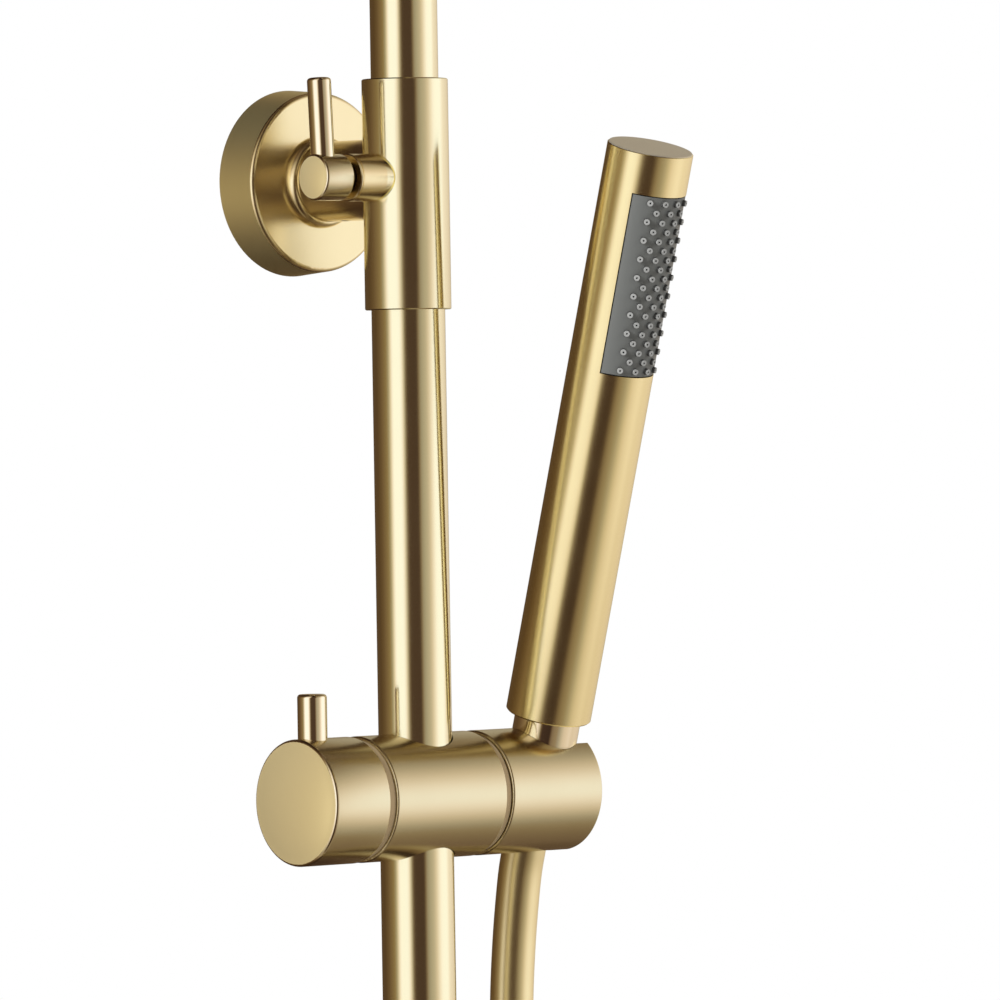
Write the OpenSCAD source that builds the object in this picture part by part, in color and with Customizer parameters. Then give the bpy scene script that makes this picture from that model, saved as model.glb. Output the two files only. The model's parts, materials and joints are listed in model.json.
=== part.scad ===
// Wall column for a shower: a telescoping riser with an overhead rain head, a tilting
// hand wand on a sliding bracket, and a bar mixer with its hose.
// The origin is on the wall, in the middle of the wall bracket. +Z is up, -Y comes out
// of the wall and +X is to the right as seen from the room. Millimetres.

/* [Column] */
// Distance from the wall to the centre line of the rail
wall_gap = 58; // [56:1:70]
// Outer diameter of the lower rail
rail_d = 24; // [23.6:0.1:24.4]
// Wall thickness of the lower rail
rail_wall = 0.8; // [0.7:0.05:0.85]
// Outer diameter of the riser that telescopes in the rail
riser_d = 22; // [21.4:0.1:22.1]
// Wall thickness of the riser
riser_wall = 1; // [0.8:0.1:1.4]
// Height of the bracket above the centre line of the mixer
mixer_drop = 920; // [900:5:940]

/* [Overhead arm] */
// Height of the overhead arm above the bracket
arm_rise = 245; // [200:5:320]
// Reach of the overhead arm from the rail to the rain head
arm_reach = 380; // [300:5:450]
// Centre line radius of the bend at the top of the riser
arm_bend = 60; // [45:1:80]
// Centre line radius of the bend above the rain head
nose_bend = 45; // [35:1:60]
// Straight length below the bend above the rain head
nose_len = 18; // [12:1:40]
// Length of riser that hides in the rail, measured from the bracket
riser_tail = 330; // [300:5:380]

/* [Wall bracket] */
// Radius of the rosette at the wall
rosette_r = 30.7; // [29.7:0.1:34]
// Radius of the rosette at its front edge
rosette_front_r = 29.6; // [29:0.1:30.6]
// Height of the rosette
rosette_h = 15.3; // [13:0.1:18]
// Rounding of the rosette's front edge
rosette_edge = 1.5; // [0.8:0.1:2]
// Wall thickness of the rosettes
rosette_wall = 1.5; // [1:0.1:2]
// Radius of the arm between the wall and the sleeve
arm_r = 13.2; // [11.5:0.1:13.8]
// Radius of the collar on the arm in front of the rosette
collar_r = 14.7; // [14:0.1:17]
// Width of the collar
collar_w = 2.9; // [1.8:0.1:3.5]
// Rounding of the collar's front edge
collar_edge = 1.4; // [0.5:0.1:1.7]
// Radius of the base plate under the rosette
base_r = 26; // [23:0.5:27]
// Thickness of the base plate
base_t = 4; // [3:0.5:5]
// Radius of the stub that carries the arm
stub_r = 8.5; // [7.5:0.1:9]
// Distance between the two wall screws
screw_spacing = 34; // [34:0.5:38]
// Radius of the two wall screw holes
screw_hole_r = 2.6; // [2:0.1:2.8]

/* [Riser sleeve] */
// Length of the sleeve below the bracket's centre line
sleeve_low = 42.8; // [34:0.2:44]
// Length of the sleeve above the bracket's centre line
sleeve_high = 32.2; // [26:0.2:40]
// Wall thickness of the sleeve round the rail
sleeve_wall = 2; // [1.6:0.1:3]
// Depth of the rail's seat below the bracket's centre line
seat_drop = 9.6; // [8:0.2:14]
// Radius of the section of the riser's seal rings
seal_section = 0.75; // [0.5:0.05:0.8]
// Height of the lower seal ring above the bracket's centre line
seal_rise = 14; // [10:0.5:16]
// Distance between the two seal rings
seal_pitch = 6; // [4:0.5:8]
// Radius of the boss that holds the riser's clamp screw
boss_r = 7.7; // [7:0.1:9]
// Reach of that boss from the rail's centre line
boss_reach = 25.5; // [22:0.1:30]
// Width of the fine line round the foot of the boss
boss_line_w = 0.5; // [0.3:0.1:0.8]
// Depth of that line in the sleeve
boss_line_depth = 0.4; // [0.2:0.1:0.6]
// Radius of the riser's clamp screw
clamp_r = 3.9; // [3:0.1:4.2]

/* [Riser lock knob] */
// Radius of the riser's lock knob
lock_knob_r = 7.5; // [6.8:0.1:8.5]
// Width of the riser's lock knob
lock_knob_w = 11.9; // [11:0.1:16]
// Open gap between the boss and the riser's lock knob
lock_gap = 2.6; // [1.4:0.1:3]
// Rounding of the edges of the riser's lock knob
lock_edge = 1; // [0.4:0.1:1.4]
// Turn of the riser's lock knob at rest, back towards the wall
lock_turn = 3; // [0:1:10]
// Radius of the pin in the riser's lock knob
lock_pin_r = 3.9; // [3:0.1:4.2]
// Distance from the knob's outer face to the middle of that pin
lock_pin_inset = 4.9; // [4.6:0.1:6]
// Reach of that pin from the knob's centre line
lock_pin_reach = 32.2; // [24:0.1:40]

/* [Slider] */
// Height of the slider below the bracket at rest
slider_drop = 201; // [191:0.5:207]
// Radius of the slider, of its lock knob and of the wand holder
slider_r = 20.5; // [19.5:0.1:22]
// Reach of the slider body to the left of the rail's centre line
slider_left = 25.4; // [24:0.1:30]
// Reach of the slider body to the right of the rail's centre line
slider_right = 21.8; // [20.8:0.1:23]
// Width of the two grooves in the slider
groove_w = 2.6; // [2:0.1:3.4]
// Depth of the two grooves in the slider
groove_depth = 1; // [0.6:0.1:2]
// Width of the slider's lock knob
slider_knob_w = 24.2; // [22.8:0.1:32]
// Width of the wand holder
holder_w = 39.1; // [38.4:0.1:44]
// Rounding of the edges of the slider, the holder and the larger knobs
knob_edge = 0.7; // [0.3:0.1:1.2]
// Radius of the pins in the slider's lock knob and in the mixer's knobs
slider_pin_r = 4.8; // [3.5:0.1:5]
// Distance from the lock knob's outer face to the middle of its pin
slider_pin_inset = 8.5; // [7:0.1:9.5]
// Reach of that pin from the knob's centre line
slider_pin_reach = 34.8; // [28:0.1:42]
// Rounding of the top edge of every lever pin
pin_edge = 1.1; // [0.4:0.1:1.6]
// Wall thickness of the slider's split bush
bush_wall = 1.45; // [1:0.05:1.8]
// Half the height of the slider's split bush
bush_half = 11; // [8:0.5:13]
// Width of the split in the bush
bush_split = 4; // [2:0.5:6]
// Radius of the slider's clamp screw
slider_clamp_r = 4.9; // [4:0.1:5.5]
// Radius of the pivot bolt's shoulder
pivot_r = 4; // [3.4:0.1:4.4]
// Thickness of the holder's wall that turns on the pivot bolt
pivot_web = 9.8; // [8:0.1:10]
// Half the width of the slot in the end of the holder
slot_half = 9; // [8.2:0.1:9.2]

/* [Wand] */
// Lean of the wand from upright
wand_lean = 16.3; // [10:0.1:20]
// Distance from the rail's centre line to the wand's
wand_place = 51.8; // [51.4:0.1:53]
// Radius of the wand
wand_r = 14.1; // [13.6:0.1:14.6]
// Length of the wand's casing
wand_len = 192.6; // [175:0.1:230]
// Wall thickness of the wand's casing
wand_wall = 1.2; // [0.8:0.05:1.5]
// Thickness of the wand's closed top
wand_top = 2; // [1.2:0.1:3]
// Radius of the cone nut at its top
nut_top_r = 10.9; // [10.4:0.1:11]
// Radius of the cone nut at its lower end
nut_low_r = 9.5; // [9:0.1:9.8]
// Reach of the cone nut below the centre of the holder
nut_drop = 17.4; // [14:0.2:22]
// Length of the cone nut
nut_len = 43.3; // [40:0.1:48]
// Distance from the wand's top to the top of the spray window
pad_from_top = 13.5; // [10:0.5:24]
// Half the angle that the spray window spans
window_half = 57; // [50:1:64]
// Gap between the spray pad and the edge of its window
pad_gap = 0.35; // [0.2:0.05:0.6]
// Number of nozzle rows on the spray pad
pad_rows = 19; // [9:2:19]
// Distance between two nozzle rows
row_pitch = 3.11; // [2.8:0.01:3.2]
// Angle between neighbouring nozzles in one row
nozzle_step = 21; // [18:0.5:24]
// Radius of a nozzle at its root
nozzle_r = 1.15; // [0.8:0.05:1.2]
// Height of a nozzle
nozzle_h = 1.15; // [0.6:0.05:1.5]
// Radius of the hole in a nozzle
nozzle_hole_r = 0.32; // [0.2:0.02:0.5]

/* [Rain head] */
// Radius of the rain head
head_r = 125; // [100:1:150]
// Thickness of the rain head at its rim
head_t = 8; // [7:0.5:12]
// Radius of the ball that the rain head tilts on
ball_r = 10.5; // [9.5:0.1:11]
// Radius of the neck above the ball
neck_r = 6.5; // [5.5:0.1:6.6]
// Wall thickness of the seat ring round the ball
seat_wall = 2.05; // [1.6:0.05:2.4]
// Radius of the collar round the ball
head_collar_r = 17; // [16.5:0.1:20]
// Number of nozzle rings on the rain head
head_rings = 7; // [4:1:7]
// Distance between two nozzle rings
ring_pitch = 15.5; // [12:0.5:15.5]
// Radius of a nozzle on the rain head
drop_r = 1.5; // [1:0.1:2]
// Reach of the nozzles below the rain head
drop_h = 2; // [1:0.1:3]
// Radius of the hole in a nozzle of the rain head
drop_hole_r = 0.5; // [0.3:0.05:0.8]

/* [Mixer] */
// Radius of the mixer body
mixer_r = 24; // [22.5:0.1:25]
// Half the length of the mixer body
mixer_half = 92; // [91:0.5:97]
// Distance between the two inlets
inlet_spacing = 150; // [146:1:152]
// Width of the mixer's knobs
mixer_knob_w = 39.4; // [34:0.2:46]
// Reach of the lever pins from the centre line of the mixer
mixer_pin_reach = 37.5; // [34:0.5:48]
// Radius of the two chambers for the cartridges
chamber_r = 17.5; // [16.5:0.1:18.2]
// Depth of the two chambers
chamber_len = 36; // [35:0.5:37]
// Reach of the inlets from the mixer's centre line to the washers
inlet_reach = 32; // [31:0.5:34]
// Radius of the inlet rosettes
inlet_rosette_r = 30; // [27:0.5:33]
// Height of the inlet rosettes
inlet_rosette_h = 12; // [10:0.5:14]
// Offset of the wall thread below the mixer's centre line
union_offset = 8; // [4:0.5:9]
// Radius of the wall thread on the inlet unions
wall_thread_r = 10.48; // [9:0.02:11]
// Length of the wall thread behind the finished wall
wall_thread_len = 16; // [12:1:24]
// Distance across the flats of the inlet nuts
inlet_nut_af = 30; // [29.4:0.2:32]
// Distance from the mixer's middle to the hose outlet
outlet_place = 45; // [42:0.5:46]

/* [Hose] */
// Outer diameter of the hose
hose_d = 14.4; // [13:0.1:14.6]

/* [Fits] */
// Radial gap of a running fit
run_gap = 0.05; // [0.03:0.01:0.08]
// Gap of a slip fit and of seated pieces
slip_gap = 0.1; // [0.05:0.01:0.15]
// Gap between faces and threads that turn against each other
turn_gap = 0.2; // [0.12:0.02:0.3]
// Gap between piece faces that must stay clear of each other
face_gap = 0.3; // [0.2:0.05:0.4]

/* [Hidden] */
$fn = 96;

gold = [0.82, 0.69, 0.45];
brass = [0.72, 0.57, 0.33];
plastic = [0.86, 0.85, 0.82];
grey = [0.38, 0.38, 0.38];
black = [0.12, 0.12, 0.12];

rail_r = rail_d / 2;
riser_r = riser_d / 2;
past = 1;                                   // cutters reach this far past a face

// Wall bracket, measured out from the wall
shoulder_h = 3;                             // step of the base plate that the arm meets
shoulder_r = 14;
arm_start = base_t + shoulder_h + slip_gap;
sleeve_r = rail_r + run_gap + sleeve_wall;
stub_end = wall_gap - sleeve_r - 9.95;
collar_start = rosette_h + slip_gap;
plate_edge = 0.5;
grub_r = 2.5;
grub_place = stub_end - 5;                  // grub screw, out from the wall
grub_end = arm_r - 0.2;                     // its outer end, from the arm's axis
dimple = 1.5;                               // depth of its dimple in the stub
tip_flat_r = 0.4;
tip_low = stub_r - dimple + tip_flat_r + slip_gap;
grub_socket_r = 1.44;
socket_depth = 2;

// Riser sleeve and its clamp, measured from the rail's axis
sleeve_edge = 0.35;
seal_heights = [seal_rise, seal_rise + seal_pitch];
seal_groove_r = riser_r + 2 * seal_section + slip_gap;
seal_groove_w = 2 * seal_section + 0.5;
lock_shoe_in = riser_r + face_gap;
lock_shoe_out = riser_r + 5;
lock_screw_in = lock_shoe_out + turn_gap;
lock_knob_in = boss_reach + lock_gap;
lock_screw_out = lock_knob_in + 3.7;
lock_neck_r = clamp_r + 0.9;
boss_lip = 0.35;                            // fine line turned near the boss's face
lock_pin_place = lock_knob_in + lock_knob_w - lock_pin_inset;
pin_tail_r = 2.2;                           // tail of the riser lock pin
pin_seat = sqrt(pow(lock_knob_r, 2) - pow(lock_pin_r, 2)) - 1.4;

// Riser and the plug in its lower end
riser_end = arm_rise - nose_bend - nose_len;
plug_neck_r = riser_r - 2.4;
plug_bore_r = plug_neck_r - 2.1;
plug_flange_r = rail_r - rail_wall - face_gap;
guide_h = 10.4;
guide_top = -riser_tail - face_gap;
plug_flange_top = guide_top - guide_h - face_gap;

// Rain head, measured from the centre of its ball
flange_start = 15.8;
flange_end = flange_start + 6;
connector_start = flange_end + slip_gap;
connector_floor = connector_start + 10;
connector_end = connector_floor + 4;
connector_r = riser_r + 2.5;
ball_thread_r = 7;
ball_bore_r = 3.5;
head_z = riser_end - slip_gap - connector_floor;
seat_in_r = ball_r + run_gap;
seat_out_r = seat_in_r + seat_wall;
cavity_r = seat_out_r + run_gap;
seat_top = seat_out_r / 2;                  // the ring spans 30 degrees up
seat_low = -seat_out_r * 0.6;               // and 37 degrees down
collar_top = 9.5;
collar_mouth = cavity_r * 0.6;
mouth_r = cavity_r * 0.8;
collar_low = -16;
shell_neck_r = cavity_r - slip_gap;
shell_neck_top = -(seat_out_r * 0.7 + face_gap);
shell_bore_r = seat_out_r * 0.72;
seal_floor = -ball_r - 1.5;
hub_r = head_collar_r - 1;
hub_flare = 14;
disc_top = collar_low - 10;
disc_low = disc_top - head_t;
disc_edge = 3;
rim_wall = 3.9;
plate_t = 1.5;
mat_t = 1.5;
mat_r = head_r - rim_wall - slip_gap;
mat_top = disc_low + plate_t + mat_t;
chamber_top = mat_top + 2.2;
drop_web = 2;                               // ledge that the nozzle mat lies on

// Slider, measured from the rail's axis
bush_in_r = rail_r + run_gap;
bush_out_r = bush_in_r + bush_wall;
bush_pocket_r = bush_out_r + run_gap;
slider_bore_r = rail_r + face_gap;
washer_r = slider_r - groove_depth;
slider_shoe_in = bush_out_r + turn_gap;
slider_shoe_out = bush_out_r + 3.5;
slider_screw_in = slider_shoe_out + turn_gap;
slider_knob_in = slider_left + groove_w;
slider_knob_out = slider_knob_in + slider_knob_w;
slider_screw_out = slider_knob_in + 11.8;
slider_pin_place = slider_knob_out - slider_pin_inset;
slider_tail_r = 2.5;
bolt_r = 3;
bolt_in = slider_right - 6.4;
bolt_hole_in = bush_pocket_r + 1.4;
holder_in = slider_right + groove_w;
holder_out = holder_in + holder_w;
web_end = holder_in + pivot_web;
spring_t = 1.2;
bolt_head_in = web_end + spring_t + face_gap;
bolt_head_r = pivot_r + 1.8;
bolt_head_out = bolt_head_in + 3.4;
bolt_socket_r = 2.3;

// Wand, measured along its own axis from the middle of the holder
hose_r = hose_d / 2;
nut_bore_r = hose_r + turn_gap;
nut_shelf = 10.8;
nut_thread_r = 8.1;
nut_end = nut_len - nut_drop;
nut_cone_end = nut_end - 7.9;
holder_clear = 0.12;
flange_low = nut_shelf + turn_gap;
flange_high = flange_low + 2.5;
seal_high = flange_high + 2;
seal_bore_r = 4.5;
wand_start = nut_end - turn_gap;
wand_end = wand_start + wand_len;
wand_in_r = wand_r - wand_wall;
connector_low = seal_high + slip_gap;
connector_flange = nut_end + face_gap;
core_start = connector_flange + 5.9;
core_end = wand_end - wand_top - 0.6;
core_r = wand_in_r - turn_gap;
water_r = 4.5;
pad_len = (pad_rows - 1) * row_pitch + 2 * 2.16;
window_top = wand_end - pad_from_top;
window_low = window_top - pad_len;
pad_floor_r = core_r - 2.5;
pad_face_r = wand_r - 0.15;
pad_half = window_half - pad_gap / wand_r * 180 / PI;
pad_mid = (window_top + window_low) / 2;

// Mixer, measured from the middle of its body
passage_r = 8;
rail_seat = mixer_r - 2;
rail_boss_r = rail_r + run_gap + 2.95;
rail_boss_top = mixer_r + 12;
rail_seal_top = rail_boss_top + 7.5;
union_low = mixer_r + 2;
union_lip = rail_seal_top + slip_gap;
union_top = union_lip + 4.4;
union_r = rail_boss_r + 3;
mixer_knob_in = mixer_half + groove_w;
mixer_knob_out = mixer_knob_in + mixer_knob_w;
mixer_pin_place = mixer_knob_in + 0.66 * mixer_knob_w;
chamber_floor = mixer_half - chamber_len;
cartridge_r = chamber_r - slip_gap;
cartridge_in = chamber_floor + slip_gap;
cartridge_nose_r = 12;
nose_out = mixer_half + 6;
spindle_r = 4;
spindle_in = cartridge_in + 12;
spindle_out = mixer_knob_in + 18;
knob_recess = nose_out - mixer_knob_in + face_gap;
inlet_place = inlet_spacing / 2;
inlet_bore_r = 7;
inlet_neck_r = 11.5;
inlet_collar_r = 13.2;
inlet_collar_w = 3;
inlet_washer_t = 2;
union_front = wall_gap - inlet_reach - inlet_washer_t;
union_back = inlet_rosette_h - 3;
nut_back = union_front - 6.5;
nut_lip = wall_gap - inlet_reach + inlet_collar_w + turn_gap;
nut_front = wall_gap - mixer_r - 0.5;
outlet_r = 5;
outlet_boss_low = mixer_r + 3;
outlet_stub_r = 8.4;
outlet_stub_top = mixer_r - 10;
outlet_flange_low = outlet_boss_low + 4;
outlet_thread_r = 10.48;
outlet_low = outlet_flange_low + 7;
end_nut_r = 12.2;
end_nut_top = outlet_flange_low + 0.5;
end_nut_low = 44;
hose_bore_r = 4;

// Hose route from the cone nut down to the loop and up to the mixer's outlet
hose_points = [
    [51.8, -53, -218], [51.8, -50.3, -227.5], [51.8, -48.3, -238.5], [51.9, -46.3, -252.5],
    [52, -44.7, -269.5], [52.3, -43.6, -291.5], [53, -43.2, -319.5], [54, -44, -355],
    [55, -47, -401], [57, -52, -456], [60, -60, -520], [64, -69, -590], [68, -78, -665],
    [73, -86, -740], [78, -92, -815], [83, -96, -890], [87, -98, -965], [90, -98, -1040],
    [92, -97, -1105], [93, -95, -1162], [91, -92, -1212], [81, -89, -1254],
    [54, -85, -1284], [16, -81, -1295], [-22, -77, -1284], [-49, -73, -1254],
    [-59, -70, -1212], [-61, -67, -1165], [-59, -63, -1114], [-53, -60, -1060],
    [-47.5, -58.5, -1012], [-45, -58, -984], [-45, -58, -964.4]];
hose_sides = 10;
hose_steps = 2;

// ---- Places ----

// Local +Z comes straight out of the wall
module from_wall() rotate([90, 0, 0]) children();
// Local +Z runs to the left or to the right
module to_left() rotate([0, -90, 0]) children();
module to_right() rotate([0, 90, 0]) children();
module at_rail(z = 0) translate([0, -wall_gap, z]) children();
module at_riser_lock() at_rail() rotate([-lock_turn, 0, 0]) children();
module at_head() at_rail(head_z) translate([0, -arm_reach, 0]) children();
module at_slider() at_rail(-slider_drop) children();
module at_wand() at_slider() translate([wand_place, 0, 0]) rotate([wand_lean, 0, 0]) children();
module at_mixer() at_rail(-mixer_drop) children();
// Both inlets of the mixer, with local +Z straight out of the wall
module at_inlets(drop = 0)
    for (side = [-1, 1])
        translate([side * inlet_place, 0, -mixer_drop - drop]) from_wall() children();

// ---- Shapes that repeat ----

// Half section of a round bar with bevelled ends
function bar_profile(r, low, high, low_edge, high_edge) = concat(
    [[0, low]],
    low_edge > 0 ? [[r - low_edge, low], [r, low + low_edge]] : [[r, low]],
    high_edge > 0 ? [[r, high - high_edge], [r - high_edge, high]] : [[r, high]],
    [[0, high]]);
module bar(r, low, high, low_edge = 0, high_edge = 0)
    rotate_extrude() polygon(bar_profile(r, low, high, low_edge, high_edge));

module tube(r, bore_r, low, high, low_edge = 0, high_edge = 0)
    difference() {
        bar(r, low, high, low_edge, high_edge);
        bar(bore_r, low - past, high + past);
    }

// Cuts a convex corner at the upper right down to a round edge
module corner_cut(edge)
    difference() {
        square(edge + past);
        circle(edge);
    }

// Round bar with rounded ends
module round_bar(r, low, high, low_edge, high_edge)
    rotate_extrude() difference() {
        translate([0, low]) square([r, high - low]);
        translate([r - low_edge, low + low_edge]) mirror([0, 1]) corner_cut(low_edge);
        translate([r - high_edge, high - high_edge]) corner_cut(high_edge);
    }

// Lever pin with a rounded top and a thinner tail that sits in its knob
module lever_pin(r, seat, top, tail_r, tail_low)
    union() {
        rotate_extrude() difference() {
            translate([0, seat]) square([r, top - seat]);
            translate([r - pin_edge, top - pin_edge]) corner_cut(pin_edge);
        }
        bar(tail_r, tail_low, seat);
    }

// Room for that pin in its knob
module pin_socket(r, seat, tail_r, tail_low)
    union() {
        bar(r + slip_gap, seat - slip_gap, seat + 4 * r);
        bar(tail_r + slip_gap, tail_low - slip_gap, seat);
    }

// Hexagonal prism, sized across its flats
module hex_bar(flats, low, high)
    translate([0, 0, low]) cylinder(r = flats / sqrt(3), h = high - low, $fn = 6);

// Round cap that covers a fixing on the wall
module rosette_cup(back_r, front_r, h, hole_r)
    rotate_extrude() difference() {
        polygon([[hole_r, 0], [back_r, 0], [front_r, h - rosette_edge], [front_r, h],
            [hole_r, h]]);
        translate([front_r - rosette_edge, h - rosette_edge]) corner_cut(rosette_edge);
        polygon([[hole_r - past, -past], [back_r - rosette_wall, -past],
            [front_r - rosette_wall, h - rosette_wall], [hole_r - past, h - rosette_wall]]);
    }

// Part of a round wall, centred on -Y
module sector(r_in, r_out, half_angle, low, high)
    rotate([0, 0, -90 - half_angle]) rotate_extrude(angle = 2 * half_angle)
        translate([r_in, low]) square([r_out - r_in, high - low]);

// ---- Wall bracket ----

// Plate on the wall with the stub that carries the arm
module wall_base_plate() color(brass) difference() {
    from_wall() difference() {
        union() {
            bar(base_r, 0, base_t, 0, plate_edge);
            bar(shoulder_r, base_t, base_t + shoulder_h);
            bar(stub_r, base_t + shoulder_h, stub_end, 0, plate_edge);
        }
        for (side = [-1, 1])
            translate([side * screw_spacing / 2, 0, 0])
                bar(screw_hole_r, -past, base_t + past);
    }
    below_arm() translate([0, 0, stub_r - dimple])
        cylinder(r1 = 0, r2 = dimple + past, h = dimple + past);
}

module wall_rosette() color(gold) from_wall()
    rosette_cup(rosette_r, rosette_front_r, rosette_h, arm_r + slip_gap);

// Axis of the arm's grub screw, running down from the arm's own axis
module below_arm() translate([0, -grub_place, 0]) rotate([180, 0, 0]) children();

module wall_arm() color(gold) difference() {
    from_wall() union() {
        bar(arm_r, arm_start, wall_gap);
        rotate_extrude() difference() {
            translate([0, collar_start]) square([collar_r, collar_w]);
            translate([collar_r - collar_edge, collar_start + collar_w - collar_edge])
                corner_cut(collar_edge);
        }
    }
    from_wall() bar(stub_r + slip_gap, 0, stub_end + 2);
    at_rail() bar(sleeve_r + slip_gap, -arm_r - past, arm_r + past);
    at_rail() to_left() bar(boss_r + slip_gap, 0, boss_reach);
    below_arm() bar(grub_r + slip_gap, 0, arm_r + past);
}

module arm_grub_screw() color(black) below_arm() difference() {
    union() {
        translate([0, 0, tip_low])
            cylinder(r1 = tip_flat_r, r2 = grub_r, h = grub_r - tip_flat_r);
        bar(grub_r, tip_low + grub_r - tip_flat_r, grub_end);
    }
    translate([0, 0, grub_end - socket_depth])
        cylinder(r = grub_socket_r, h = socket_depth + past, $fn = 6);
}

// ---- Riser sleeve and riser lock ----

module riser_sleeve() color(gold) at_rail() difference() {
    union() {
        bar(sleeve_r, -sleeve_low, sleeve_high, sleeve_edge, sleeve_edge);
        to_left() bar(boss_r, 0, boss_reach, 0, boss_lip);
    }
    bar(rail_r + run_gap, -sleeve_low - past, -seat_drop);
    bar(riser_r + turn_gap, -seat_drop - past, sleeve_high + past);
    for (z = seal_heights)
        bar(seal_groove_r, z - seal_groove_w / 2, z + seal_groove_w / 2);
    to_left() bar(clamp_r + slip_gap, 0, boss_reach + past);
    to_left() tube(boss_r + past, boss_r - boss_lip, boss_reach - 3 * boss_lip,
        boss_reach - 2 * boss_lip);
    difference() {
        to_left() tube(boss_r + boss_line_w, boss_r, sleeve_r / 2, sleeve_r + past);
        bar(sleeve_r - boss_line_depth, -boss_r - past, boss_r + past);
    }
}

module riser_seals() color(black) at_rail()
    for (z = seal_heights)
        translate([0, 0, z]) rotate_extrude()
            translate([riser_r + run_gap + seal_section, 0]) circle(seal_section);

// Pad that the clamp screw presses against the riser
module riser_clamp_shoe() color(plastic) at_rail() difference() {
    to_left() bar(clamp_r, riser_r / 2, lock_shoe_out);
    bar(lock_shoe_in, -clamp_r - past, clamp_r + past);
}

module riser_clamp_screw() color(brass) at_rail() to_left() union() {
    bar(clamp_r, lock_screw_in, boss_reach + face_gap);
    bar(lock_neck_r, boss_reach + face_gap, lock_knob_in - slip_gap);
    bar(clamp_r, lock_knob_in - slip_gap, lock_screw_out);
}

module riser_lock_knob() color(gold) at_riser_lock() difference() {
    to_left() difference() {
        round_bar(lock_knob_r, lock_knob_in, lock_knob_in + lock_knob_w, lock_edge / 2,
            lock_edge);
        bar(clamp_r + slip_gap, lock_knob_in - past, lock_screw_out + slip_gap);
    }
    translate([-lock_pin_place, 0, 0])
        pin_socket(lock_pin_r, pin_seat, pin_tail_r, -pin_tail_r + 0.2);
}

module riser_lock_pin() color(gold) at_riser_lock() translate([-lock_pin_place, 0, 0])
    lever_pin(lock_pin_r, pin_seat, lock_pin_reach, pin_tail_r, -pin_tail_r + 0.2);

// ---- Rail and riser ----

module lower_rail() color(gold) at_rail()
    tube(rail_r, rail_r - rail_wall, -mixer_drop + rail_seat + slip_gap,
        -seat_drop - slip_gap);

// Split ring on the riser's plug that guides it in the rail
module riser_guide_ring() color(plastic) at_rail() difference() {
    tube(rail_r - rail_wall - run_gap, plug_neck_r + run_gap, guide_top - guide_h, guide_top);
    translate([0, -1, guide_top - guide_h - past]) cube([rail_r, 2, guide_h + 2 * past]);
}

// Quarter of a bent rod whose centre line turns from +Y over +Z
module quarter_bend(bend, r, turn)
    rotate([90, 0, 90]) rotate([0, 0, turn]) rotate_extrude(angle = 90)
        translate([bend, 0]) circle(r);

// Solid rod along the riser's whole centre line
module riser_run(r, over) union() {
    bar(r, -riser_tail - over, arm_rise - arm_bend);
    translate([0, -arm_bend, arm_rise - arm_bend]) quarter_bend(arm_bend, r, 0);
    translate([0, -arm_bend, arm_rise]) from_wall()
        bar(r, 0, arm_reach - arm_bend - nose_bend);
    translate([0, nose_bend - arm_reach, arm_rise - nose_bend])
        quarter_bend(nose_bend, r, 90);
    translate([0, -arm_reach, 0]) bar(r, riser_end - over, riser_end + nose_len);
}

module upper_riser() color(gold) at_rail() difference() {
    riser_run(riser_r, 0);
    riser_run(riser_r - riser_wall, past);
}

module riser_end_plug() color(plastic) at_rail() difference() {
    union() {
        bar(riser_r - riser_wall - slip_gap, -riser_tail, -riser_tail + 12, 0, plate_edge);
        bar(plug_neck_r, plug_flange_top, -riser_tail);
        bar(plug_flange_r, plug_flange_top - 3, plug_flange_top, plate_edge, 0);
    }
    bar(plug_bore_r, plug_flange_top - 3 - past, -riser_tail + 12 + past);
}

// ---- Rain head ----

module head_connector() color(gold) at_head() difference() {
    bar(connector_r, connector_start, connector_end, plate_edge, plate_edge);
    bar(ball_thread_r + run_gap, connector_start - past, connector_floor);
    bar(riser_r + slip_gap, connector_floor, connector_end + past);
}

module head_ball() color(gold) at_head() difference() {
    union() {
        sphere(ball_r);
        bar(neck_r, 0, flange_start);
        bar(neck_r + 3, flange_start, flange_end, plate_edge, 0);
        bar(ball_thread_r, flange_end, connector_floor - 2, 0, plate_edge);
    }
    bar(ball_bore_r, -ball_r - past, connector_floor);
}

// Ring that the ball tilts in and that itself tilts in the collar
module ball_seat_ring() color(plastic) at_head() rotate_extrude() intersection() {
    difference() {
        circle(seat_out_r);
        circle(seat_in_r);
    }
    translate([seat_in_r / 4, seat_low]) square([seat_out_r, seat_top - seat_low]);
}

module head_collar() color(gold) at_head() difference() {
    bar(head_collar_r, collar_low, collar_top, plate_edge, plate_edge);
    sphere(cavity_r);
    bar(cavity_r, collar_low - past, 0);
    translate([0, 0, collar_mouth])
        cylinder(r1 = mouth_r, r2 = mouth_r + 1.4, h = collar_top - collar_mouth + slip_gap);
}

module ball_seal() color(black) at_head() translate([0, 0, -10.7]) rotate_extrude()
    translate([5, 0]) circle(1.15);

module head_shell() color(gold) at_head() rotate_extrude() difference() {
    union() {
        square_down(shell_neck_r, disc_top, shell_neck_top);
        square_down(hub_r + hub_flare, disc_top, collar_low - slip_gap);
        square_down(head_r, disc_low, disc_top);
    }
    translate([hub_r + hub_flare, disc_top + hub_flare]) circle(hub_flare);
    translate([head_r - disc_edge, disc_top - disc_edge]) corner_cut(disc_edge);
    translate([0, -past]) square_down(shell_bore_r, seal_floor + past, past);
    square_down(ball_bore_r, disc_low - past, seal_floor + past);
    square_down(mat_r - drop_web, mat_top - past, chamber_top);
    square_down(mat_r + slip_gap, disc_low - past, mat_top);
}

// Half section of a plain disc
module square_down(r, low, high) translate([0, low]) square([r, high - low]);

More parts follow.
